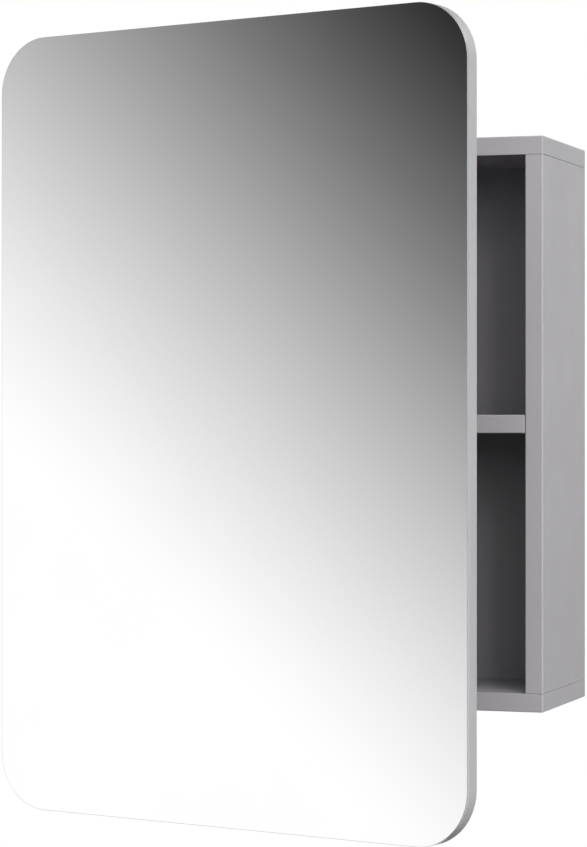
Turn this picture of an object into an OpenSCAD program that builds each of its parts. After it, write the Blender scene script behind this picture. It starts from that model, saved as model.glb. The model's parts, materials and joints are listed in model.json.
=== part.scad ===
// Wall-mounted medicine cabinet with a mirrored overlay door.
// A square lacquered carcass carries a taller round-cornered mirror door on two butt hinges.
// Frame: +X to the right, +Y towards the wall, +Z up, and the origin on the wall plane at the
// centre of the carcass. The door is drawn closed and then turned open about its hinge line.

/* [Carcass] */
// Width of the carcass and of the door
cabinet_w = 500; // [460:10:600]
// Height of the carcass
carcass_h = 500; // [460:10:560]
// Depth of the carcass from the wall to its front edges
carcass_d = 156; // [150:1:170]
// Thickness of the lacquered boards
board_t = 16; // [16:1:18]
// Thickness of the back panel
back_t = 4; // [3:1:5]
// Thickness of the wall rails, which is also how far the back panel stands off the wall
rail_t = 16; // [14:1:18]
// Height of each wall rail
rail_h = 80; // [70:5:90]

/* [Door] */
// Height of the door
door_h = 700; // [620:10:720]
// Thickness of the door's backing board
door_board_t = 12; // [12:1:15]
// Thickness of the mirror glass
mirror_t = 4; // [3:1:5]
// Radius of the door's four corners
corner_r = 50; // [20:5:80]
// Angle at which the door stands open at rest
door_open = 16; // [0:1:90]

/* [Shelf] */
// Width of the gap between each shelf end and its side panel
shelf_gap = 0.5; // [0.3:0.1:1]
// Vertical pitch of the shelf pin holes
pin_pitch = 32; // [25:1:36]
// Diameter of a shelf pin
shelf_pin_d = 5; // [4:1:6]

/* [Hinges] */
// Distance from mid-height to the centre of each hinge
hinge_z = 160; // [120:5:170]
// Height of a hinge
hinge_h = 60; // [50:5:70]
// Outer diameter of a hinge knuckle
knuckle_d = 5; // [5:0.1:5.4]
// Diameter of a hinge pin
hinge_pin_d = 2.4; // [2:0.1:2.6]
// Thickness of a hinge leaf
leaf_t = 1; // [1:0.1:1.2]

/* [Catches] */
// Distance from the middle of the cabinet to each magnetic catch
catch_x = 150; // [100:5:180]
// Diameter of a door bumper
bumper_d = 9; // [8:1:10]

/* [Wall mounting] */
// Distance of each wall screw hole from the two nearest edges of the carcass
wall_hole_inset = 45; // [42:1:60]
// Diameter of a wall screw hole
wall_hole_d = 6; // [5:0.5:7]

/* [Hidden] */
$fn = 48;

lacquer = [0.66, 0.65, 0.66];
board_core = [0.72, 0.60, 0.45];
zinc = [0.72, 0.73, 0.75];
dark_plastic = [0.35, 0.35, 0.37];
cut = 1; // how far a cutting shape runs past the face that it opens
slack = 0.05; // clearance all round a fitted pin, dowel or screw

// Carcass faces
half_w = cabinet_w / 2;
half_h = carcass_h / 2;
inner_x = half_w - board_t;
inner_z = half_h - board_t;
front_y = -carcass_d;
back_panel_y = -rail_t - back_t;

// Grooves that hold the back panel
groove_depth = 5;
back_edge = groove_depth - 0.5;

// Joinery in each corner: cam fittings and dowels sit on the middle line of the side panels
side_mid_x = half_w - board_t / 2;
front_row_y = front_y + 37;
rear_row_y = -45;
cam_rows = [front_row_y, rear_row_y];
dowel_rows = [front_row_y + 23, rear_row_y - 23];
cam_z = inner_z - 24;
cam_hole_d = 15;
cam_hole_depth = 12.5;
cam_len = 12;
cam_socket_r = 4.6;
bolt_head_r = 3.5;
bolt_head_h = 5;
bolt_neck_r = 1.75;
bolt_shank_r = 3;
bolt_in_panel = 11;
cap_d = 17;
cap_t = 0.8;
dowel_d = 8;
dowel_in_panel = 10;
dowel_in_side = 20;
rail_dowel_d = 6;
rail_dowel_in_rail = 14;
rail_dowel_in_side = 10;
rail_dowel_inset = 20;

// Shelf pins
pin_len = 16;
pin_in_side = 8;
pin_hole_depth = 9;
pin_rows = 2; // rows of spare holes above and below the row in use
shelf_pin_z = -board_t / 2 - shelf_pin_d / 2;

// Hinge line: the knuckles stand just outside the side panel, level with the gap behind the door
leaf_gap = 0.3;
door_gap = 2 * leaf_t + leaf_gap;
door_back_y = front_y - door_gap;
knuckle_clear = 0.1;
hinge_x = -half_w - knuckle_d / 2 - knuckle_clear;
hinge_y = front_y - door_gap / 2;
leaf_w = 14;
leaf_clear = 0.3;
knuckle_gap = 0.3;
knuckle_count = 5;
knuckle_h = (hinge_h - (knuckle_count - 1) * knuckle_gap) / knuckle_count;
carcass_knuckles = [0, 2, 4];
door_knuckles = [1, 3];
pin_head_d = 4;
pin_head_h = 1;
screw_pitch = hinge_h / 3;
screw_x = -half_w + board_t / 2;
screw_d = 3;
screw_head_d = 5.2;
carcass_screw_len = 16;
door_screw_len = 10;

// Magnetic catches
catch_w = 46;
catch_h = 14;
catch_depth = 20;
magnet_w = 24;
magnet_h = 6;
magnet_front = 1.5;
magnet_depth = 11;
pole_t = 1.2;
pole_proud = 0.6;
pocket_gap = 0.1;
pocket_depth = magnet_front + magnet_depth + pocket_gap;
ear_x = 18;
catch_screw_len = 24;
catch_screw_d = 3.4;
catch_screw_head_d = 6.4;
catch_screw_head_h = 1.6;
catch_mid_y = front_y + catch_depth / 2;
catch_mid_z = inner_z - catch_h / 2;

// Strike plates and bumpers on the back of the door
strike_w = 32;
strike_h = 12;
strike_t = 1.2;
bumper_t = door_gap - 0.4;
bumper_x = half_w - board_t / 2;
bumper_z = inner_z - 34;

// Tape between the mirror and the door's board
tape_w = 25;
tape_len = door_h - 2 * corner_r - 100;
tape_t = 0.8;
tape_pitch = (cabinet_w - 140) / 4;

// A box between two opposite corners
module box(lo, hi) { translate(lo) cube(hi - lo); }

// Repeats a shape drawn in the upper right corner into all four corners
module at_corners() {
    for (flip_x = [0, 1], flip_z = [0, 1]) mirror([flip_x, 0, 0]) mirror([0, 0, flip_z]) children();
}

// Repeats a shape drawn in the upper half into the lower half
module above_and_below() {
    for (flip_z = [0, 1]) mirror([0, 0, flip_z]) children();
}

// Repeats a shape drawn on the right into the left
module right_and_left() {
    for (flip_x = [0, 1]) mirror([flip_x, 0, 0]) children();
}

// Turns a shape drawn on the closed door to where the door stands at rest
module on_door() {
    translate([hinge_x, hinge_y, 0]) rotate([0, 0, -door_open]) translate([-hinge_x, -hinge_y, 0])
        children();
}

// A rod along +X, starting at x
module rod_x(x, y, z, r, len) { translate([x, y, z]) rotate([0, 90, 0]) cylinder(r = r, h = len); }

// A rod along +Z, starting at z
module rod_z(x, y, z, r, len) { translate([x, y, z]) cylinder(r = r, h = len); }

// An upright plate with round corners, from y back to the front
module round_plate(y, w, h, t, r) {
    translate([0, y, 0]) rotate([90, 0, 0]) linear_extrude(t) {
        square([w - 2 * r, h], center = true);
        square([w, h - 2 * r], center = true);
        for (sx = [-1, 1], sz = [-1, 1])
            translate([sx * (w / 2 - r), sz * (h / 2 - r)]) circle(r, $fn = 96);
    }
}

// A countersunk screw whose head lies at z = 0 and whose shank runs down; grow widens it for its hole
module countersunk(len, d, head_d, head_h, grow) {
    translate([0, 0, -len]) cylinder(d = d + 2 * grow, h = len);
    translate([0, 0, -head_h]) cylinder(d1 = d + 2 * grow, d2 = head_d + 2 * grow, h = head_h);
}

// A countersunk screw with a cross recess in its head
module screw(len, d, head_d, head_h) {
    recess_w = 0.9;
    recess_len = head_d * 0.6;
    recess_depth = 0.6;
    difference() {
        countersunk(len, d, head_d, head_h, 0);
        for (turn = [0, 90]) rotate([0, 0, turn])
            box([-recess_len / 2, -recess_w / 2, -recess_depth], [recess_len / 2, recess_w / 2, cut]);
    }
}

// Holes that the corner joinery needs in the top or bottom panel
module panel_joint_holes() {
    at_corners() {
        for (y = cam_rows)
            rod_z(side_mid_x, y, inner_z - cut, bolt_shank_r + slack, cut + bolt_in_panel + slack);
        for (y = dowel_rows)
            rod_z(side_mid_x, y, inner_z - cut, dowel_d / 2 + slack, cut + dowel_in_panel + slack);
    }
}

// Holes that the corner joinery needs in the side panels
module side_joint_holes() {
    at_corners() {
        for (y = cam_rows) {
            rod_x(inner_x - cut, y, cam_z, cam_hole_d / 2, cut + cam_hole_depth);
            rod_z(side_mid_x, y, cam_z, bolt_head_r + slack, inner_z - cam_z + cut);
        }
        for (y = dowel_rows)
            rod_z(side_mid_x, y, inner_z - dowel_in_side - slack, dowel_d / 2 + slack,
                  dowel_in_side + slack + cut);
        for (z = rail_dowel_zs())
            rod_x(inner_x - cut, -rail_t / 2, z, rail_dowel_d / 2 + slack, cut + rail_dowel_in_side + slack);
    }
}

// Rows of shelf pin holes in the side panels
module shelf_pin_holes() {
    right_and_left() for (y = cam_rows, row = [-pin_rows:pin_rows])
        rod_x(inner_x - cut, y, shelf_pin_z + row * pin_pitch, shelf_pin_d / 2 + slack, cut + pin_hole_depth);
}

// The groove for the back panel, cut into all four boards of the carcass
module back_groove() {
    edge_x = inner_x + groove_depth;
    edge_z = inner_z + groove_depth;
    box([-edge_x, back_panel_y - slack, -edge_z], [edge_x, -rail_t + slack, edge_z]);
}

// Heights of the dowels in one wall rail
function rail_dowel_zs() = [inner_z - rail_dowel_inset, inner_z - rail_h + rail_dowel_inset];

// Heights of the screws in one hinge
function screw_zs(centre) = [for (i = [-1:1]) centre + i * screw_pitch];

// Pilot holes for the hinge screws in the front edge of the left side panel
module carcass_pilot_holes() {
    for (centre = [-hinge_z, hinge_z], z = screw_zs(centre))
        translate([screw_x, front_y - leaf_t, z]) rotate([90, 0, 0])
            countersunk(carcass_screw_len + slack, screw_d, screw_head_d, leaf_t, slack);
}

// Pilot holes for the hinge screws in the back of the closed door
module door_pilot_holes() {
    for (centre = [-hinge_z, hinge_z], z = screw_zs(centre))
        translate([screw_x, door_back_y + leaf_t, z]) rotate([-90, 0, 0])
            countersunk(door_screw_len + slack, screw_d, screw_head_d, leaf_t, slack);
}

// Places a shape at both screws of the upper catch, with +Z down out of the top panel
module at_catch_screws() {
    for (side = [-1, 1])
        translate([catch_x + side * ear_x, catch_mid_y, inner_z - catch_h]) rotate([180, 0, 0]) children();
}

// The top panel, which turned over is also the bottom panel
module horizontal_panel() {
    difference() {
        box([-half_w, front_y, inner_z], [half_w, 0, half_h]);
        panel_joint_holes();
        back_groove();
        at_catch_screws() countersunk(catch_screw_len + slack, catch_screw_d, catch_screw_head_d,
                                      catch_screw_head_h, slack);
    }
}

module top_panel() { color(lacquer) horizontal_panel(); }

module bottom_panel() { color(lacquer) mirror([0, 0, 1]) horizontal_panel(); }

// The right side panel, without the hinge screws
module side_panel() {
    difference() {
        box([inner_x, front_y, -inner_z], [half_w, 0, inner_z]);
        side_joint_holes();
        shelf_pin_holes();
        back_groove();
    }
}

module left_side_panel() {
    color(lacquer) difference() {
        mirror([1, 0, 0]) side_panel();
        carcass_pilot_holes();
    }
}

module right_side_panel() { color(lacquer) side_panel(); }

module middle_shelf() {
    end_x = inner_x - shelf_gap;
    color(lacquer) box([-end_x, front_y, -board_t / 2], [end_x, back_panel_y - shelf_gap, board_t / 2]);
}

// Wall screw holes through the rails and the back panel
module wall_holes() {
    at_corners() translate([half_w - wall_hole_inset, cut, half_h - wall_hole_inset]) rotate([90, 0, 0])
        cylinder(d = wall_hole_d, h = rail_t + back_t + 2 * cut);
}

module back_panel() {
    edge_x = inner_x + back_edge;
    edge_z = inner_z + back_edge;
    color(lacquer * 0.9) difference() {
        box([-edge_x, back_panel_y, -edge_z], [edge_x, -rail_t, edge_z]);
        wall_holes();
    }
}

// The upper wall rail
module wall_rail() {
    difference() {
        box([-inner_x, -rail_t, inner_z - rail_h], [inner_x, 0, inner_z]);
        wall_holes();
        right_and_left() for (z = rail_dowel_zs())
            rod_x(inner_x - rail_dowel_in_rail - slack, -rail_t / 2, z, rail_dowel_d / 2 + slack,
                  rail_dowel_in_rail + slack + cut);
    }
}

module upper_wall_rail() { color(lacquer * 0.95) wall_rail(); }

module lower_wall_rail() { color(lacquer * 0.95) mirror([0, 0, 1]) wall_rail(); }

module rail_dowels() {
    color(board_core) at_corners() for (z = rail_dowel_zs())
        rod_x(inner_x - rail_dowel_in_rail, -rail_t / 2, z, rail_dowel_d / 2,
              rail_dowel_in_rail + rail_dowel_in_side);
}

module panel_dowels() {
    color(board_core) at_corners() for (y = dowel_rows)
        rod_z(side_mid_x, y, inner_z - dowel_in_side, dowel_d / 2, dowel_in_side + dowel_in_panel);
}

// Headed bolts that screw into the top and bottom panels and are drawn tight by the cams
module cam_bolts() {
    neck_top = cam_z + cam_hole_d / 2 + 0.3;
    color(zinc) at_corners() for (y = cam_rows) {
        rod_z(side_mid_x, y, cam_z - bolt_head_h / 2, bolt_head_r, bolt_head_h);
        rod_z(side_mid_x, y, cam_z, bolt_neck_r, neck_top - cam_z);
        rod_z(side_mid_x, y, neck_top, bolt_shank_r, inner_z + bolt_in_panel - neck_top);
    }
}

// Round cams with a socket for the bolt's head and a slot for its neck
module cam_locks() {
    drive_w = 1.1;
    drive_len = 8;
    drive_depth = 1.5;
    neck_slot = bolt_neck_r + 0.35;
    color(zinc) at_corners() for (y = cam_rows) difference() {
        rod_x(inner_x, y, cam_z, cam_hole_d / 2 - slack, cam_len);
        rod_x(side_mid_x - bolt_head_r - 0.7, y, cam_z, cam_socket_r, cam_len);
        box([side_mid_x - neck_slot, y - neck_slot, cam_z],
            [side_mid_x + neck_slot, y + neck_slot, cam_z + cam_hole_d]);
        box([inner_x - cut, y - drive_w / 2, cam_z - drive_len / 2],
            [inner_x + drive_depth, y + drive_w / 2, cam_z + drive_len / 2]);
        box([inner_x - cut, y - drive_len / 2, cam_z - drive_w / 2],
            [inner_x + drive_depth, y + drive_len / 2, cam_z + drive_w / 2]);
    }
}

// Flat caps that cover the cams on the inside of the side panels
module cam_cover_caps() {
    rim = 0.3;
    color(lacquer) at_corners() for (y = cam_rows) {
        rod_x(inner_x - cap_t + rim, y, cam_z, cap_d / 2, cap_t - rim);
        translate([inner_x - cap_t, y, cam_z]) rotate([0, 90, 0])
            cylinder(d1 = cap_d - 2 * rim, d2 = cap_d, h = rim);
    }
}

module shelf_pins() {
    color(zinc) right_and_left() for (y = cam_rows)
        rod_x(inner_x + pin_in_side - pin_len, y, shelf_pin_z, shelf_pin_d / 2, pin_len);
}

// One hinge leaf: a drilled plate, and tabs that run out into its knuckles
module hinge_leaf(centre, plate_y, knuckles, head_side) {
    plate_x = -half_w + leaf_clear;
    difference() {
        union() {
            box([plate_x, plate_y, centre - hinge_h / 2],
                [-half_w + leaf_w, plate_y + leaf_t, centre + hinge_h / 2]);
            for (i = knuckles) {
                z = centre - hinge_h / 2 + i * (knuckle_h + knuckle_gap);
                box([hinge_x, plate_y, z], [plate_x, plate_y + leaf_t, z + knuckle_h]);
                rod_z(hinge_x, hinge_y, z, knuckle_d / 2, knuckle_h);
            }
        }
        rod_z(hinge_x, hinge_y, centre - hinge_h, hinge_pin_d / 2 + slack, 2 * hinge_h);
        head_y = head_side < 0 ? plate_y : plate_y + leaf_t;
        for (z = screw_zs(centre)) translate([screw_x, head_y, z]) rotate([-90 * head_side, 0, 0])
            countersunk(leaf_t + cut, screw_d, screw_head_d, leaf_t, slack);
    }
}

module carcass_leaf(centre) { hinge_leaf(centre, front_y - leaf_t, carcass_knuckles, -1); }

module door_leaf(centre) { on_door() hinge_leaf(centre, door_back_y, door_knuckles, 1); }

module upper_hinge_carcass_leaf() { color(zinc) carcass_leaf(hinge_z); }

module lower_hinge_carcass_leaf() { color(zinc) carcass_leaf(-hinge_z); }

module upper_hinge_door_leaf() { color(zinc) door_leaf(hinge_z); }

module lower_hinge_door_leaf() { color(zinc) door_leaf(-hinge_z); }

// A hinge pin with a button head at each end
module hinge_pin(centre) {
    rod_z(hinge_x, hinge_y, centre - hinge_h / 2 - pin_head_h, hinge_pin_d / 2, hinge_h + 2 * pin_head_h);
    rod_z(hinge_x, hinge_y, centre + hinge_h / 2, pin_head_d / 2, pin_head_h);
    rod_z(hinge_x, hinge_y, centre - hinge_h / 2 - pin_head_h, pin_head_d / 2, pin_head_h);
}

module upper_hinge_pin() { color(zinc) hinge_pin(hinge_z); }

module lower_hinge_pin() { color(zinc) hinge_pin(-hinge_z); }

module hinge_carcass_screws() {
    color(zinc) for (centre = [-hinge_z, hinge_z], z = screw_zs(centre))
        translate([screw_x, front_y - leaf_t, z]) rotate([90, 0, 0])
            screw(carcass_screw_len, screw_d, screw_head_d, leaf_t);
}

module hinge_door_screws() {
    color(zinc) on_door() for (centre = [-hinge_z, hinge_z], z = screw_zs(centre))
        translate([screw_x, door_back_y + leaf_t, z]) rotate([-90, 0, 0])
            screw(door_screw_len, screw_d, screw_head_d, leaf_t);
}

// Catch housings under the top panel and on the bottom panel, with a pocket open to the door
module catch_housings() {
    pocket_x = magnet_w / 2 + pocket_gap;
    pocket_z = magnet_h / 2 + pole_t + pocket_gap;
    color(dark_plastic) above_and_below() difference() {
        box([catch_x - catch_w / 2, front_y, inner_z - catch_h],
            [catch_x + catch_w / 2, front_y + catch_depth, inner_z]);
        box([catch_x - pocket_x, front_y - cut, catch_mid_z - pocket_z],
            [catch_x + pocket_x, front_y + pocket_depth, catch_mid_z + pocket_z]);
        at_catch_screws() countersunk(catch_h + cut, catch_screw_d, catch_screw_head_d,
                                      catch_screw_head_h, slack);
    }
}

module catch_magnets() {
    color([0.2, 0.2, 0.2]) above_and_below()
        box([catch_x - magnet_w / 2, front_y + magnet_front, catch_mid_z - magnet_h / 2],
            [catch_x + magnet_w / 2, front_y + magnet_front + magnet_depth, catch_mid_z + magnet_h / 2]);
}

// Steel plates on both sides of each magnet, which stand a little proud of the housing
module catch_pole_plates() {
    lower_z = catch_mid_z - magnet_h / 2 - pole_t;
    upper_z = catch_mid_z + magnet_h / 2;
    color(zinc) above_and_below() for (z = [lower_z, upper_z])
        box([catch_x - magnet_w / 2, front_y - pole_proud, z],
            [catch_x + magnet_w / 2, front_y + magnet_front + magnet_depth, z + pole_t]);
}

module catch_screws() {
    color(zinc) above_and_below() at_catch_screws()
        screw(catch_screw_len, catch_screw_d, catch_screw_head_d, catch_screw_head_h);
}

// Places a shape at both strike plates on the closed door, with +Z out of the door's back
module at_strikes() {
    for (side = [-1, 1])
        translate([catch_x, door_back_y + strike_t, side * catch_mid_z]) rotate([-90, 0, 0]) children();
}

module strike_plates() {
    straight = strike_w - strike_h;
    color(zinc) on_door() at_strikes() difference() {
        translate([0, 0, -strike_t]) linear_extrude(strike_t) {
            square([straight, strike_h], center = true);
            for (side = [-1, 1]) translate([side * straight / 2, 0]) circle(d = strike_h);
        }
        countersunk(strike_t + cut, screw_d, screw_head_d, strike_t, slack);
    }
}

module strike_screws() {
    color(zinc) on_door() at_strikes() screw(door_screw_len, screw_d, screw_head_d, strike_t);
}

// Soft buttons that meet the front edge of the right side panel as the door closes
module door_bumpers() {
    shoulder = bumper_t / 2;
    color([0.85, 0.85, 0.85]) on_door() for (side = [-1, 1])
        translate([bumper_x, door_back_y, side * bumper_z]) rotate([-90, 0, 0]) {
            cylinder(d = bumper_d, h = shoulder);
            translate([0, 0, shoulder]) cylinder(d1 = bumper_d, d2 = bumper_d - 3, h = bumper_t - shoulder);
        }
}

// Tape strips, or the pockets for them when grown by grow
module tape_strips(grow) {
    face_y = door_back_y - door_board_t;
    for (i = [-2:2])
        box([i * tape_pitch - tape_w / 2 - grow, face_y, -tape_len / 2 - grow],
            [i * tape_pitch + tape_w / 2 + grow, face_y + tape_t, tape_len / 2 + grow]);
}

module door_panel() {
    color(lacquer) on_door() difference() {
        round_plate(door_back_y, cabinet_w, door_h, door_board_t, corner_r);
        door_pilot_holes();
        at_strikes() countersunk(door_screw_len + slack, screw_d, screw_head_d, strike_t, slack);
        tape_strips(slack);
    }
}

module mirror_tape() { color([0.9, 0.9, 0.88]) on_door() tape_strips(0); }

module mirror_glass() {
    color([0.8, 0.85, 0.88]) on_door()
        round_plate(door_back_y - door_board_t, cabinet_w, door_h, mirror_t, corner_r);
}

top_panel();
bottom_panel();
left_side_panel();
right_side_panel();
middle_shelf();
back_panel();
upper_wall_rail();
lower_wall_rail();
rail_dowels();
panel_dowels();
cam_bolts();
cam_locks();
cam_cover_caps();
shelf_pins();
upper_hinge_carcass_leaf();
lower_hinge_carcass_leaf();
upper_hinge_door_leaf();
lower_hinge_door_leaf();
upper_hinge_pin();
lower_hinge_pin();
hinge_carcass_screws();
hinge_door_screws();
catch_housings();
catch_magnets();
catch_pole_plates();
catch_screws();
strike_plates();
strike_screws();
door_bumpers();
door_panel();
mirror_tape();
mirror_glass();
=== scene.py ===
"""The looks of a wall-mounted medicine cabinet with a mirrored door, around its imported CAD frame.

Boards, door and mirror are rebuilt here with rounded edges; small fittings keep their CAD shape under
softened edges. Everything is in metres, in the CAD frame: +X right, +Y towards the wall, +Z up.
"""

import json
import math

import bmesh
import bpy
from mathutils import Matrix, Vector

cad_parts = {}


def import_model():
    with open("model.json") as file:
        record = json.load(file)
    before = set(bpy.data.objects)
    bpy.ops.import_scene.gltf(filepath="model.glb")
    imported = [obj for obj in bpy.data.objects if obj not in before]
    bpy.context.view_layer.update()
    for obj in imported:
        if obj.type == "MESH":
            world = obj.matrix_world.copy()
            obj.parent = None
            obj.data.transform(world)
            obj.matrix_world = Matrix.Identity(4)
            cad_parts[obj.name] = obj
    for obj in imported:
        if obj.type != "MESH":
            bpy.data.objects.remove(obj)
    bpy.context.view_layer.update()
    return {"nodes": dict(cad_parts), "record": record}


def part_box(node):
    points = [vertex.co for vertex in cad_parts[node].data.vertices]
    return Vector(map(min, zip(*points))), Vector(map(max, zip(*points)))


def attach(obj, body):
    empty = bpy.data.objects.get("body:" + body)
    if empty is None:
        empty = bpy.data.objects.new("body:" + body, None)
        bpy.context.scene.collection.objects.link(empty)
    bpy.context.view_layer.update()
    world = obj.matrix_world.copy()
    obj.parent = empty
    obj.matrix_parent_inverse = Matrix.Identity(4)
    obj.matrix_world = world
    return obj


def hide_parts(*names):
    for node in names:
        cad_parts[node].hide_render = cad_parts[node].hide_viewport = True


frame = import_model()

MM = 0.001
SPLIT_POINTS = 1e-6  # metres; points closer than this are one point

# ---------------------------------------------------------------- the door's hinge, from the frame

swing = next(j for j in frame["record"]["behaviour"]["joints"] if j["name"] == "door_swing")
HINGE_POINT = Vector(swing["pos_m"])
CLOSED_ANGLE = math.radians(swing["range_deg"][0])
DOOR_TO_REST = (
    Matrix.Translation(HINGE_POINT)
    @ Matrix.Rotation(-CLOSED_ANGLE, 4, Vector(swing["axis"]))
    @ Matrix.Translation(-HINGE_POINT)
)


def closed_box(node):
    """Lowest and highest corner of a door node, with the door turned back to where it closes."""
    back = DOOR_TO_REST.inverted()
    points = [back @ v.co for v in frame["nodes"][node].data.vertices]
    low = Vector(min(p[i] for p in points) for i in range(3))
    high = Vector(max(p[i] for p in points) for i in range(3))
    return low, high


# ---------------------------------------------------------------- node helpers


class Graph:
    """A small wrapper that makes shader nodes and links them."""

    def __init__(self, tree):
        self.tree = tree

    def add(self, kind, settings=None, **inputs):
        node = self.tree.nodes.new(kind)
        for key, value in (settings or {}).items():
            setattr(node, key, value)
        for key, value in inputs.items():
            self.put(node, key.replace("_", " "), value)
        return node

    def put(self, node, name, value):
        socket = node.inputs[name]
        if isinstance(value, bpy.types.NodeSocket):
            self.tree.links.new(value, socket)
        else:
            socket.default_value = value

    def math(self, operation, a, b=0.0, clamp=False):
        node = self.tree.nodes.new("ShaderNodeMath")
        node.operation = operation
        node.use_clamp = clamp
        for index, value in enumerate((a, b)):
            if isinstance(value, bpy.types.NodeSocket):
                self.tree.links.new(value, node.inputs[index])
            else:
                node.inputs[index].default_value = value
        return node.outputs[0]

    def ramp(self, fac, stops):
        node = self.tree.nodes.new("ShaderNodeValToRGB")
        elements = node.color_ramp.elements
        while len(elements) < len(stops):
            elements.new(0.5)
        for element, (position, colour) in zip(elements, stops):
            element.position = position
            element.color = (*colour, 1.0)
        self.tree.links.new(fac, node.inputs[0])
        return node.outputs[0]

    def noise(self, vector, scale, detail=2.0, roughness=0.5):
        node = self.add("ShaderNodeTexNoise", Vector=vector, Scale=scale, Detail=detail, Roughness=roughness)
        return node.outputs["Fac"]

    def stretched(self, vector, scale):
        node = self.add("ShaderNodeMapping", Vector=vector, Scale=scale)
        return node.outputs[0]

    def bump(self, height, distance, strength=1.0, normal=None):
        node = self.add("ShaderNodeBump", Height=height, Distance=distance, Strength=strength)
        if normal is not None:
            self.put(node, "Normal", normal)
        return node.outputs[0]


def shades(colour, spread):
    """A darker and a lighter version of a colour, for a ramp."""
    return [tuple(c * (1 - spread) for c in colour), tuple(min(1, c * (1 + spread)) for c in colour)]


def new_material(name):
    """A material, its graph, its Principled shader and the object coordinates."""
    material = bpy.data.materials.new(name)
    material.use_nodes = True
    graph = Graph(material.node_tree)
    shader = material.node_tree.nodes["Principled BSDF"]
    coordinates = graph.add("ShaderNodeTexCoord").outputs["Object"]
    return material, graph, shader, coordinates


# ---------------------------------------------------------------- materials

# Noise scales are in features a metre, and bump depths in metres. A stretch gives a scale along X, Y and Z.
LACQUER = (0.405, 0.393, 0.410)
# Painted light: the door's lacquer is the board lacquer made 6% lighter, so that the door's edge looks
# brighter.
DOOR_LACQUER_PAINTED_LIGHT = (0.430, 0.418, 0.435)
# Painted shade: the back panel's lacquer is the board lacquer made about a quarter darker, to stand for the
# shade at the back of the compartments.
LACQUER_PAINTED_SHADE = (0.30, 0.29, 0.305)
BEECH = (0.58, 0.40, 0.23)
NICKEL = (0.66, 0.655, 0.64)
ZINC = (0.52, 0.53, 0.545)
DIE_CAST = (0.50, 0.51, 0.53)
GRAPHITE = (0.035, 0.035, 0.038)
FERRITE = (0.022, 0.021, 0.020)
SILVER = (0.93, 0.935, 0.93)
GLASS_EDGE = (0.43, 0.435, 0.44)
# The mirror's rim line: partly the dark backing at the edge of the silvering, partly painted shade standing
# for the glass arris.
BORDER = (0.18, 0.185, 0.19)
SOFT_CLEAR = (0.62, 0.63, 0.64)
FOAM = (0.78, 0.78, 0.75)
GLASS_IOR = 1.52


def lacquer_material(name, colour, roughness):
    """Sprayed satin lacquer: a faint orange peel, a little mottle and slightly uneven gloss."""
    material, graph, shader, at = new_material(name)
    mottle = graph.noise(at, scale=9.0, detail=4.0)
    dark, light = shades(colour, spread=0.025)
    graph.put(shader, "Base Color", graph.ramp(mottle, [(0.3, dark), (0.7, light)]))
    smear = graph.noise(at, scale=38.0, detail=3.0)
    rough = graph.ramp(smear, [(0.25, (roughness - 0.05,) * 3), (0.75, (roughness + 0.05,) * 3)])
    graph.put(shader, "Roughness", rough)
    peel = graph.noise(at, scale=520.0, detail=2.0)
    grain = graph.noise(at, scale=2600.0, detail=1.0)
    coarse = graph.bump(peel, distance=0.00005)
    graph.put(shader, "Normal", graph.bump(grain, distance=0.00001, normal=coarse))
    return material


def wood_material(name, colour):
    """Plain wood with its grain along X."""
    material, graph, shader, at = new_material(name)
    fibres = graph.noise(graph.stretched(at, (60, 900, 900)), scale=1.0, detail=5.0, roughness=0.6)
    dark, light = shades(colour, spread=0.25)
    graph.put(shader, "Base Color", graph.ramp(fibres, [(0.3, dark), (0.7, light)]))
    graph.put(shader, "Roughness", 0.6)
    graph.put(shader, "Normal", graph.bump(fibres, distance=0.00006))
    return material


def metal_material(name, colour, roughness, stretch, spread, depth):
    """Brushed or plated metal: its faint streaks run where stretch is smallest."""
    material, graph, shader, at = new_material(name)
    streaks = graph.noise(graph.stretched(at, stretch), scale=1.0, detail=4.0, roughness=0.55)
    dark, light = shades(colour, spread)
    graph.put(shader, "Base Color", graph.ramp(streaks, [(0.3, dark), (0.7, light)]))
    graph.put(shader, "Metallic", 1.0)
    rough = graph.ramp(streaks, [(0.3, (roughness - 0.03,) * 3), (0.7, (roughness + 0.04,) * 3)])
    graph.put(shader, "Roughness", rough)
    graph.put(shader, "Normal", graph.bump(streaks, depth))
    return material


def plastic_material(name, colour, roughness, grain_scale):
    """Moulded plastic with a fine spark-eroded grain."""
    material, graph, shader, at = new_material(name)
    tone = graph.noise(at, scale=120.0, detail=3.0)
    dark, light = shades(colour, spread=0.06)
    graph.put(shader, "Base Color", graph.ramp(tone, [(0.3, dark), (0.7, light)]))
    graph.put(shader, "Roughness", roughness)
    grain = graph.noise(at, grain_scale, detail=2.0)
    graph.put(shader, "Normal", graph.bump(grain, distance=0.00003))
    return material


def mirror_material():
    """The silvered face: clean silver, with gloss that varies a very little."""
    material, graph, shader, at = new_material("mirror_silver")
    film = graph.noise(at, scale=6.0, detail=2.0)
    dark, light = shades(SILVER, spread=0.006)
    graph.put(shader, "Base Color", graph.ramp(film, [(0.3, dark), (0.7, light)]))
    graph.put(shader, "Metallic", 1.0)
    graph.put(shader, "Roughness", graph.ramp(film, [(0.3, (0.012,) * 3), (0.7, (0.02,) * 3)]))
    return material


def glass_edge_material():
    """The ground and polished edge of the mirror glass, with fine grinding lines along it."""
    material, graph, shader, at = new_material("mirror_edge")
    lines = graph.noise(graph.stretched(at, (900, 5000, 60)), scale=1.0, detail=3.0)
    dark, light = shades(GLASS_EDGE, spread=0.07)
    graph.put(shader, "Base Color", graph.ramp(lines, [(0.3, dark), (0.7, light)]))
    graph.put(shader, "Roughness", graph.ramp(lines, [(0.3, (0.16,) * 3), (0.7, (0.28,) * 3)]))
    graph.put(shader, "IOR", GLASS_IOR)
    graph.put(shader, "Coat Weight", 0.5)
    graph.put(shader, "Coat Roughness", 0.08)
    graph.put(shader, "Normal", graph.bump(lines, distance=0.00001))
    return material


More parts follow.
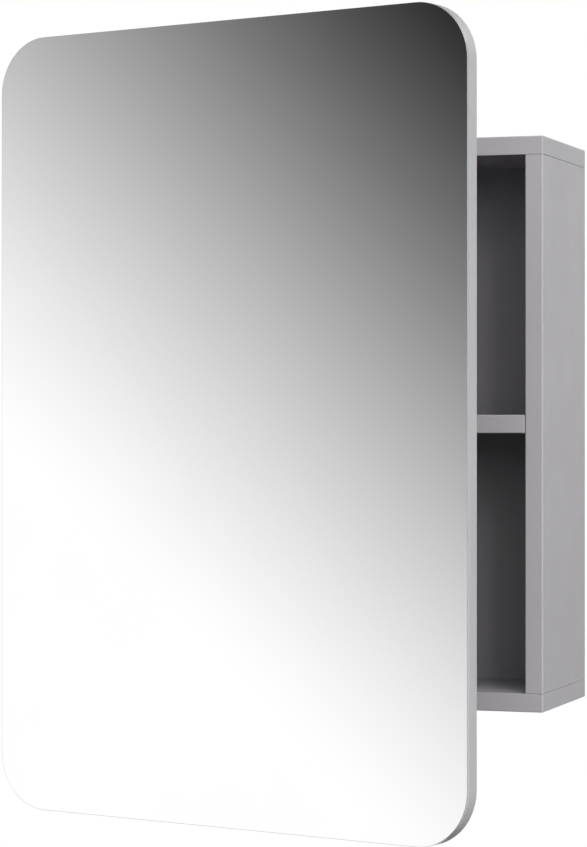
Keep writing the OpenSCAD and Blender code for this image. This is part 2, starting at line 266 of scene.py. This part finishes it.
def rubber_material(name, colour, roughness, subsurface):
    """Soft clear rubber or foam, with light that spreads a little inside it."""
    material, graph, shader, at = new_material(name)
    cells = graph.noise(at, scale=700.0, detail=4.0)
    dark, light = shades(colour, spread=0.05)
    graph.put(shader, "Base Color", graph.ramp(cells, [(0.3, dark), (0.7, light)]))
    graph.put(shader, "Roughness", roughness)
    graph.put(shader, "Subsurface Weight", subsurface)
    graph.put(shader, "Subsurface Radius", (0.004, 0.004, 0.004))
    graph.put(shader, "Normal", graph.bump(cells, distance=0.00004))
    return material


MATERIALS = {
    "lacquered_board": lacquer_material("satin_lacquer", LACQUER, 0.42),
    # painted light: the door is lacquered 6% lighter than the boards
    "door_board": lacquer_material("door_lacquer_painted_light", DOOR_LACQUER_PAINTED_LIGHT, 0.40),
    # painted shade: the back panel is lacquered darker than the other boards
    "back_board": lacquer_material("back_lacquer_painted_shade", LACQUER_PAINTED_SHADE, 0.60),
    "rail_board": lacquer_material("rail_lacquer", LACQUER, 0.60),
    "dowel_wood": wood_material("beech", BEECH),
    "zinc_steel": metal_material("zinc_plate", ZINC, 0.34, (700, 700, 700), 0.04, 0.000003),
    "cast_zinc": metal_material("die_cast_zinc", DIE_CAST, 0.45, (1400, 1400, 1400), 0.08, 0.00002),
    "hinge_steel": metal_material("satin_nickel", NICKEL, 0.30, (1600, 1600, 60), 0.02, 0.0000003),
    "cap_plastic": plastic_material("cap_plastic", LACQUER, 0.45, 2200.0),
    "catch_plastic": plastic_material("catch_plastic", GRAPHITE, 0.50, 1800.0),
    "ferrite": plastic_material("ferrite", FERRITE, 0.75, 2600.0),
    "bumper_rubber": rubber_material("bumper_rubber", SOFT_CLEAR, 0.35, 0.5),
    "foam_tape": rubber_material("foam_tape", FOAM, 0.90, 0.2),
    "silvered_glass": mirror_material(),
}
GLASS_RIM = glass_edge_material()
# the rim line's material: partly dark backing, partly painted shade of the glass arris
SILVER_EDGE_AND_ARRIS_SHADE = plastic_material("silver_edge_and_arris_shade", BORDER, 0.35, 900.0)

# ---------------------------------------------------------------- mesh helpers

SMOOTH_ANGLE = math.radians(40)
FLAT_ANGLE = math.radians(0.5)  # facets that turn less than this are one flat face
SQUARE = 0.99999  # cosine above which a face counts as square to an axis


def mesh_object(name, bm):
    """A scene object made from a bmesh."""
    bmesh.ops.recalc_face_normals(bm, faces=bm.faces[:])
    mesh = bpy.data.meshes.new(name)
    bm.to_mesh(mesh)
    bm.free()
    obj = bpy.data.objects.new(name, mesh)
    bpy.context.collection.objects.link(obj)
    return obj


def corner_normal(polygon, neighbours, flat):
    """The shading normal where a polygon meets its neighbours at one point."""
    if flat[polygon.index]:
        return polygon.normal
    near = [n for n in neighbours if n.normal.dot(polygon.normal) > math.cos(SMOOTH_ANGLE)]
    flats = [n for n in near if flat[n.index]]
    if flats:
        return max(flats, key=lambda n: n.normal.dot(polygon.normal)).normal
    return sum((n.normal * n.area for n in near), Vector()).normalized()


def shade(obj, turn):
    """Smooth shading for rounds and holes, while faces square to the turned axes stay quite flat."""
    mesh = obj.data
    axes = turn.to_3x3().transposed()
    flat = [any(abs(p.normal.dot(axis)) > SQUARE for axis in axes) for p in mesh.polygons]
    around = [[] for _ in mesh.vertices]
    for polygon in mesh.polygons:
        polygon.use_smooth = True
        for vertex in polygon.vertices:
            around[vertex].append(polygon)
    normals = [corner_normal(p, around[v], flat) for p in mesh.polygons for v in p.vertices]
    mesh.normals_split_custom_set(normals)


def apply_modifiers(obj):
    """Makes what the modifiers give the object's own mesh."""
    depsgraph = bpy.context.evaluated_depsgraph_get()
    depsgraph.update()
    mesh = bpy.data.meshes.new_from_object(obj.evaluated_get(depsgraph))
    obj.modifiers.clear()
    obj.data = mesh


def cad_copy(node):
    """A closed copy of a CAD node's mesh, with its split points joined."""
    bm = bmesh.new()
    bm.from_mesh(frame["nodes"][node].data)
    bmesh.ops.remove_doubles(bm, verts=bm.verts[:], dist=SPLIT_POINTS)
    return mesh_object(node + "_cutter", bm)


def rounded_box(name, low, high, radius_of, segments=5):
    """A box whose edges are rounded by radius_of(sides), in mm.

    sides says where an edge lies along X, Y and Z: -1 or 1 at the low or high side, 0 where it runs.
    """
    middle, size = (low + high) / 2, high - low
    bm = bmesh.new()
    bmesh.ops.create_cube(bm, size=1, matrix=Matrix.Translation(middle) @ Matrix.Diagonal((*size, 1)))
    radii = []
    for edge in bm.edges:
        centre = (edge.verts[0].co + edge.verts[1].co) / 2 - middle
        sides = tuple(round(2 * centre[i] / size[i]) for i in range(3))
        radii.append(radius_of(sides))
    piece = mesh_object(name, bm)
    widest = max(radii)
    weights = piece.data.attributes.new("bevel_weight_edge", "FLOAT", "EDGE")
    for index, radius in enumerate(radii):
        weights.data[index].value = radius / widest
    bevel = piece.modifiers.new("rounded edges", "BEVEL")
    bevel.limit_method = "WEIGHT"
    bevel.width = widest * MM
    bevel.segments = segments
    apply_modifiers(piece)
    return piece


def boolean(obj, other, operation):
    """Cuts or keeps obj by another object, which is then thrown away."""
    modifier = obj.modifiers.new(operation.lower(), "BOOLEAN")
    modifier.operation = operation
    modifier.solver = "EXACT"
    modifier.object = other
    apply_modifiers(obj)
    bpy.data.objects.remove(other)


def finish_piece(obj, node, body, materials=None, turn=Matrix.Identity(4)):
    """Gives a rebuilt piece its shading, material, slot and body, and lets it stand for its CAD node."""
    slot = next(s["material_slot"] for s in frame["record"]["subparts"] if s["node"] == node)
    if len(obj.data.materials):
        obj.data.materials.clear()
    for material in materials or [MATERIALS[slot]]:
        obj.data.materials.append(material)
    shade(obj, turn)
    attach(obj, body)
    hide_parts(node)
    return obj


# ---------------------------------------------------------------- carcass

FRONT_CORNER = 1.6  # mm, the upright outer edges at the front
FRONT_INNER = 1.0
OUTER = 1.0
SEAM = 0.5
SEAM_GAP = 0.15  # mm, taken off each end of a side panel, so that the joint reads as a fine dark line
PROUD = 0.01 * MM  # keeps the rounded box's faces off the CAD faces while they are cut


def panel_edges(outer_z):
    """Edge radii of the top or bottom panel, whose inner face meets the side panels."""

    def radius_of(sides):
        x, y, z = sides
        if z == 0:
            return FRONT_CORNER if y < 0 else OUTER
        return OUTER if z == outer_z else SEAM

    return radius_of


def side_edges(outer_x):
    """Edge radii of a side panel, whose ends meet the top and bottom panels."""

    def radius_of(sides):
        x, y, z = sides
        if z != 0:
            return SEAM
        if y > 0:
            return OUTER
        return FRONT_CORNER if x == outer_x else FRONT_INNER

    return radius_of


def board(node, radius_of, seam_gap=0.0):
    """A lacquered board: the CAD board with its drilling and grooves, and its outer edges rounded."""
    low, high = (Vector(corner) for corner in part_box(node))
    margin = Vector((PROUD, PROUD, PROUD - seam_gap * MM))
    piece = rounded_box(node + "_board", low - margin, high + margin, radius_of)
    boolean(piece, cad_copy(node), "INTERSECT")
    return finish_piece(piece, node, "cabinet")


board("top_panel", panel_edges(outer_z=1))
board("bottom_panel", panel_edges(outer_z=-1))
board("left_side_panel", side_edges(outer_x=-1), SEAM_GAP)
board("right_side_panel", side_edges(outer_x=1), SEAM_GAP)
board("middle_shelf", lambda sides: OUTER if sides[1] < 0 else SEAM)
board("back_panel", lambda sides: 0.2)
board("upper_wall_rail", lambda sides: SEAM)
board("lower_wall_rail", lambda sides: SEAM)

# ---------------------------------------------------------------- door and mirror

CORNER_SEGMENTS = 40


def corner_radius(node):
    """The radius of a plate's round corners, from where its straight top edge ends."""
    low, high = closed_box(node)
    back = DOOR_TO_REST.inverted()
    tops = [(back @ v.co).x for v in frame["nodes"][node].data.vertices if high.z - v.co.z < SPLIT_POINTS]
    return min(tops) - low.x


def plate_outline(low, high, radius):
    """Points round a plate with four round corners, anticlockwise from its right edge, in X and Z."""
    points = []
    for quarter in range(4):
        right, top = quarter in (0, 3), quarter in (0, 1)
        centre_x = high.x - radius if right else low.x + radius
        centre_z = high.z - radius if top else low.z + radius
        for step in range(CORNER_SEGMENTS + 1):
            angle = (quarter + step / CORNER_SEGMENTS) * math.pi / 2
            points.append((centre_x + radius * math.cos(angle), centre_z + radius * math.sin(angle)))
    return points


def round_plate(node, front_round, back_round, segments):
    """A door-shaped plate with round corners and rounded rims, at rest."""
    low, high = closed_box(node)
    outline = plate_outline(low, high, corner_radius(node))
    bm = bmesh.new()
    rings = [[bm.verts.new((x, y, z)) for x, z in outline] for y in (low.y, high.y)]
    faces = [bm.faces.new(ring) for ring in rings]
    rims = [list(face.edges) for face in faces]
    count = len(outline)
    for i in range(count):
        j = (i + 1) % count
        bm.faces.new((rings[0][i], rings[0][j], rings[1][j], rings[1][i]))
    bmesh.ops.recalc_face_normals(bm, faces=bm.faces[:])
    for rim, amount in zip(rims, (front_round, back_round)):
        bmesh.ops.bevel(bm, geom=rim, offset=amount, segments=segments, profile=0.5, affect="EDGES")
    bmesh.ops.transform(bm, matrix=DOOR_TO_REST, verts=bm.verts[:])
    return bm


door_board = mesh_object("door_board", round_plate("door_panel", 0.5 * MM, 1.5 * MM, 4))
finish_piece(door_board, "door_panel", "door", turn=DOOR_TO_REST)

RIM_LINE = 0.13 * MM  # the fine dark border round the silvering, partly painted shade of the glass arris


def mirror():
    """The mirror: a silvered face, a fine dark line round it that is partly the dark backing at the
    silvering's edge and partly painted shade of the glass arris, and the polished edge of the glass.
    """
    bm = round_plate("mirror_glass", 0.12 * MM, 0.4 * MM, 2)
    outward = DOOR_TO_REST.to_3x3() @ Vector((0, -1, 0))
    bm.faces.ensure_lookup_table()
    face = max((f for f in bm.faces if f.normal.dot(outward) > 0.99), key=lambda f: f.calc_area())
    border = bmesh.ops.inset_region(bm, faces=[face], thickness=RIM_LINE)["faces"]
    for other in bm.faces:
        other.material_index = 1
    face.material_index = 0
    for strip in border:
        strip.material_index = 2
    piece = mesh_object("mirror_plate", bm)
    materials = [MATERIALS["silvered_glass"], GLASS_RIM, SILVER_EDGE_AND_ARRIS_SHADE]
    return finish_piece(piece, "mirror_glass", "door", materials, DOOR_TO_REST)


mirror()

# ---------------------------------------------------------------- fittings that keep their CAD shape

SOFTENED = {  # node, and the width of its softened edges in mm
    "upper_hinge_carcass_leaf": 0.12, "lower_hinge_carcass_leaf": 0.12, "upper_hinge_door_leaf": 0.12,
    "lower_hinge_door_leaf": 0.12, "upper_hinge_pin": 0.3, "lower_hinge_pin": 0.3,
    "hinge_carcass_screws": 0.06, "hinge_door_screws": 0.06, "catch_housings": 0.5, "catch_magnets": 0.2,
    "catch_pole_plates": 0.12, "catch_screws": 0.06, "strike_plates": 0.15, "strike_screws": 0.06,
    "door_bumpers": 0.3, "rail_dowels": 0.4, "panel_dowels": 0.4, "cam_bolts": 0.2, "cam_locks": 0.15,
    "cam_cover_caps": 0.15, "shelf_pins": 0.4, "mirror_tape": 0.1,
}


def soften(node, width):
    """Keeps a CAD node, with small rounds on its sharp edges and its finished material."""
    obj = frame["nodes"][node]
    slot = next(s["material_slot"] for s in frame["record"]["subparts"] if s["node"] == node)
    weld = obj.modifiers.new("weld", "WELD")
    weld.merge_threshold = SPLIT_POINTS
    planar = obj.modifiers.new("whole faces", "DECIMATE")
    planar.decimate_type = "DISSOLVE"
    planar.angle_limit = FLAT_ANGLE
    bevel = obj.modifiers.new("soft edges", "BEVEL")
    bevel.width = width * MM
    bevel.segments = 2
    bevel.limit_method = "ANGLE"
    bevel.angle_limit = SMOOTH_ANGLE
    even = obj.modifiers.new("even shading", "WEIGHTED_NORMAL")
    even.weight = 100  # the largest, so that broad faces settle the shading of the rounds beside them
    obj.data.materials.clear()
    obj.data.materials.append(MATERIALS[slot])


for name, width in SOFTENED.items():
    soften(name, width)

# ---------------------------------------------------------------- camera

CAMERA_AT = Vector((0.8820, -2.6482, 0.0098))
CAMERA_YAW = 19.051  # degrees to the left of straight on
SENSOR = 36.0  # mm, as is the lens
LENS = 125.76
SHIFT_Y = -0.01266
VIEW_END = 100  # metres, beyond the backdrop


def camera():
    """The camera, which looks level past the door's right edge at the cabinet's right side."""
    data = bpy.data.cameras.new("camera")
    data.sensor_width = SENSOR
    data.lens = LENS
    data.shift_y = SHIFT_Y
    data.clip_end = VIEW_END
    obj = bpy.data.objects.new("camera", data)
    obj.location = CAMERA_AT
    obj.rotation_euler = (math.radians(90), 0, math.radians(CAMERA_YAW))
    bpy.context.collection.objects.link(obj)
    bpy.context.scene.camera = obj
    return obj


camera()

# ---------------------------------------------------------------- studio

FLOOR_Z = -1.3
FLOOR_RADIUS = 4.5
FLOOR_CLEAR = 1.0  # metres from the middle to where the floor starts to fade
LIGHT_DISTANCE = 6.0
LIGHT_SIZE = 3.0
LIGHTS = {  # direction it comes from, and power in watts
    "key": ((0.6, -0.7, 0.35), 229.0),
    "front": ((0.22, -0.92, 0.33), 90.0),
    "right": ((1.0, -0.1, 0.1), 121.0),
    "top": ((0.15, -0.25, 1.0), 118.0),
    "back_left": ((-0.9, 0.3, 0.4), 260.0),
    "back": ((-0.1, 0.9, 0.4), 260.0),
}
WORLD_ABOVE = 0.02
WORLD_BELOW = 0.09


def only_seen_by(obj, camera=False, diffuse=False, glossy=False):
    """Sets which rays meet a stage object."""
    obj.visible_camera = camera
    obj.visible_diffuse = diffuse
    obj.visible_glossy = glossy
    obj.visible_transmission = False
    obj.visible_volume_scatter = False
    obj.visible_shadow = False


def emission(name):
    """A material that only shines, its graph and its light."""
    material = bpy.data.materials.new(name)
    material.use_nodes = True
    tree = material.node_tree
    tree.nodes.clear()
    graph = Graph(tree)
    light = graph.add("ShaderNodeEmission")
    output = graph.add("ShaderNodeOutputMaterial")
    tree.links.new(light.outputs[0], output.inputs["Surface"])
    return material, graph, light


def backdrop():
    """A white sphere far behind everything, which only the camera sees."""
    bm = bmesh.new()
    bmesh.ops.create_icosphere(bm, subdivisions=4, radius=BACKDROP_RADIUS)
    obj = mesh_object("backdrop", bm)
    material, graph, light = emission("backdrop_white")
    graph.put(light, "Color", (1, 1, 1, 1))
    obj.data.materials.append(material)
    only_seen_by(obj, camera=True)


def floor_hidden(graph, at):
    """How clear the floor is: fully from below, and more and more with the distance from its middle."""
    flat = graph.add("ShaderNodeVectorMath", {"operation": "MULTIPLY"})
    graph.tree.links.new(at, flat.inputs[0])
    flat.inputs[1].default_value = (1, 1, 0)
    length = graph.add("ShaderNodeVectorMath", {"operation": "LENGTH"})
    graph.tree.links.new(flat.outputs[0], length.inputs[0])
    out = graph.add("ShaderNodeMapRange", {"interpolation_type": "SMOOTHSTEP"})
    graph.put(out, "Value", length.outputs["Value"])
    graph.put(out, "From Min", FLOOR_CLEAR)
    graph.put(out, "From Max", FLOOR_RADIUS)
    under = graph.add("ShaderNodeNewGeometry").outputs["Backfacing"]
    return graph.math("MAXIMUM", out.outputs[0], under)


def floor():
    """A plain pale floor, which fades into the backdrop far out and can be looked through from below."""
    bm = bmesh.new()
    bmesh.ops.create_circle(bm, cap_ends=True, segments=96, radius=FLOOR_RADIUS,
                            matrix=Matrix.Translation((0, 0, FLOOR_Z)))
    obj = mesh_object("floor", bm)
    if obj.data.polygons[0].normal.z < 0:
        obj.data.flip_normals()
    material, graph, shader, at = new_material("pale_floor")
    cloud = graph.noise(at, scale=1.5)
    graph.put(shader, "Base Color", graph.ramp(cloud, [(0.3, (0.80,) * 3), (0.7, (0.82,) * 3)]))
    graph.put(shader, "Roughness", 0.9)
    clear = graph.add("ShaderNodeBsdfTransparent")
    mix = graph.add("ShaderNodeMixShader", Fac=floor_hidden(graph, at))
    graph.tree.links.new(shader.outputs[0], mix.inputs[1])
    graph.tree.links.new(clear.outputs[0], mix.inputs[2])
    output = next(n for n in graph.tree.nodes if n.type == "OUTPUT_MATERIAL")
    graph.tree.links.new(mix.outputs[0], output.inputs["Surface"])
    obj.data.materials.append(material)
    only_seen_by(obj, camera=True)


def soft_light(name, direction, power):
    """A large soft area light, aimed at the cabinet."""
    data = bpy.data.lights.new(name, "AREA")
    data.energy = power
    data.size = LIGHT_SIZE
    obj = bpy.data.objects.new(name, data)
    direction = Vector(direction).normalized()
    obj.location = direction * LIGHT_DISTANCE
    obj.rotation_euler = direction.to_track_quat("Z", "Y").to_euler()
    obj.visible_glossy = False
    bpy.context.collection.objects.link(obj)


BACKDROP_RADIUS = 30.0
DOME_RADIUS = 14.0
SHADE_SLOPE = math.radians(45.7)  # which way the dome's bands lean
SHADE_REPEATS = 6  # bands round the dome
SHADE_WHITE_AT = 0.067  # radians from the middle of the mirror's view to where the band is fully white
SHADE_FALL = 0.249  # radians from there to the band's dark end
SHADE_DARK = 0.3  # how long the band stays dark, in falls
SHADE_DEPTH = 0.8345  # how far the dark end lies below white, on the display's scale
SHADE_CURVE = 1.427
SHADE_STEEP = (0.25, 0.85)  # heights, in dome radii, between which the bands grow fainter
SHADE_FAINT = 0.35  # what is left of the bands overhead and underfoot, over an even grey
SHADE_GREY = 0.45  # how far that grey lies below white, on the display's scale
DISPLAY_SCALE = 1.055  # with the power below, turns a shade on the display's scale into light
DISPLAY_POWER = 2.4


def mirror_sees():
    """The point of the dome that the middle of the mirror, at rest, shows to the camera."""
    low, high = closed_box("mirror_glass")
    middle = DOOR_TO_REST @ Vector(((low.x + high.x) / 2, low.y, (low.z + high.z) / 2))
    normal = DOOR_TO_REST.to_3x3() @ Vector((0, -1, 0))
    bounced = (middle - CAMERA_AT).reflect(normal).normalized()
    along = middle.dot(bounced)
    return middle + bounced * (math.sqrt(along * along - middle.length_squared + DOME_RADIUS ** 2) - along)


def bands_kept(graph, z):
    """How much of the bands is left at a height: all of it near the horizon, and less above and below."""
    steep = graph.add("ShaderNodeMapRange", {"interpolation_type": "SMOOTHSTEP"}, To_Min=1.0)
    graph.put(steep, "To Max", SHADE_FAINT)
    graph.put(steep, "Value", graph.math("ABSOLUTE", graph.math("DIVIDE", z, DOME_RADIUS)))
    graph.put(steep, "From Min", SHADE_STEEP[0])
    graph.put(steep, "From Max", SHADE_STEEP[1])
    return steep.outputs[0]


def band_shade(graph, at):
    """Soft diagonal bands round the dome: white, falling to dark grey, and back to white.

    Lengths run across the bands, in falls, from the start of one band.
    """
    start = mirror_sees()
    x, y, z = graph.add("ShaderNodeSeparateXYZ", Vector=at).outputs
    turn = graph.math("SUBTRACT", graph.math("ARCTAN2", y, x), math.atan2(start.y, start.x))
    rise = graph.math("SUBTRACT", graph.math("ARCSINE", graph.math("DIVIDE", z, DOME_RADIUS)),
                      math.asin(start.z / DOME_RADIUS))
    across = graph.math("ADD", graph.math("MULTIPLY", turn, math.sin(SHADE_SLOPE)),
                        graph.math("MULTIPLY", rise, math.cos(SHADE_SLOPE)))
    falls = graph.math("DIVIDE", graph.math("ADD", across, SHADE_WHITE_AT), SHADE_FALL)
    period = 2 * math.pi * math.sin(SHADE_SLOPE) / SHADE_REPEATS / SHADE_FALL
    place = graph.math("FLOORED_MODULO", falls, period)
    back = graph.math("SUBTRACT", 2 + SHADE_DARK, place)
    depth = graph.math("MAXIMUM", graph.math("MINIMUM", graph.math("MINIMUM", place, back), 1.0), 0.0)
    kept = bands_kept(graph, z)
    fall = graph.math("MULTIPLY", graph.math("POWER", depth, SHADE_CURVE), SHADE_DEPTH)
    grey = graph.math("MULTIPLY", graph.math("SUBTRACT", 1.0, kept), SHADE_GREY)
    fall = graph.math("ADD", graph.math("MULTIPLY", fall, kept), grey)
    display = graph.math("DIVIDE", graph.math("SUBTRACT", DISPLAY_SCALE, fall), DISPLAY_SCALE)
    return graph.math("POWER", display, DISPLAY_POWER)


def reflection_dome():
    """A studio all round, which only reflections see, so that the mirror has something to show."""
    bm = bmesh.new()
    bmesh.ops.create_uvsphere(bm, u_segments=96, v_segments=48, radius=DOME_RADIUS)
    obj = mesh_object("reflection_dome", bm)
    for polygon in obj.data.polygons:
        polygon.use_smooth = True
    material, graph, light = emission("dome_shade")
    at = graph.add("ShaderNodeTexCoord").outputs["Object"]
    graph.put(light, "Strength", graph.math("DIVIDE", band_shade(graph, at), SILVER[1]))
    obj.data.materials.append(material)
    only_seen_by(obj, glossy=True)


def world():
    """The light that comes from nowhere in particular, a little different above and below."""
    scene_world = bpy.data.worlds.new("studio")
    scene_world.use_nodes = True
    graph = Graph(scene_world.node_tree)
    background = scene_world.node_tree.nodes["Background"]
    at = graph.add("ShaderNodeTexCoord").outputs["Generated"]
    height = graph.add("ShaderNodeSeparateXYZ", Vector=at).outputs[2]
    up = graph.math("ADD", graph.math("MULTIPLY", height, 2.0), 0.5, clamp=True)
    stops = [(0.0, (WORLD_BELOW,) * 3), (1.0, (WORLD_ABOVE,) * 3)]
    graph.put(background, "Color", graph.ramp(up, stops))
    bpy.context.scene.world = scene_world


backdrop()
floor()
for light_name, (light_direction, light_power) in LIGHTS.items():
    soft_light(light_name, light_direction, light_power)
reflection_dome()
world()
bpy.context.scene.view_settings.view_transform = "Standard"
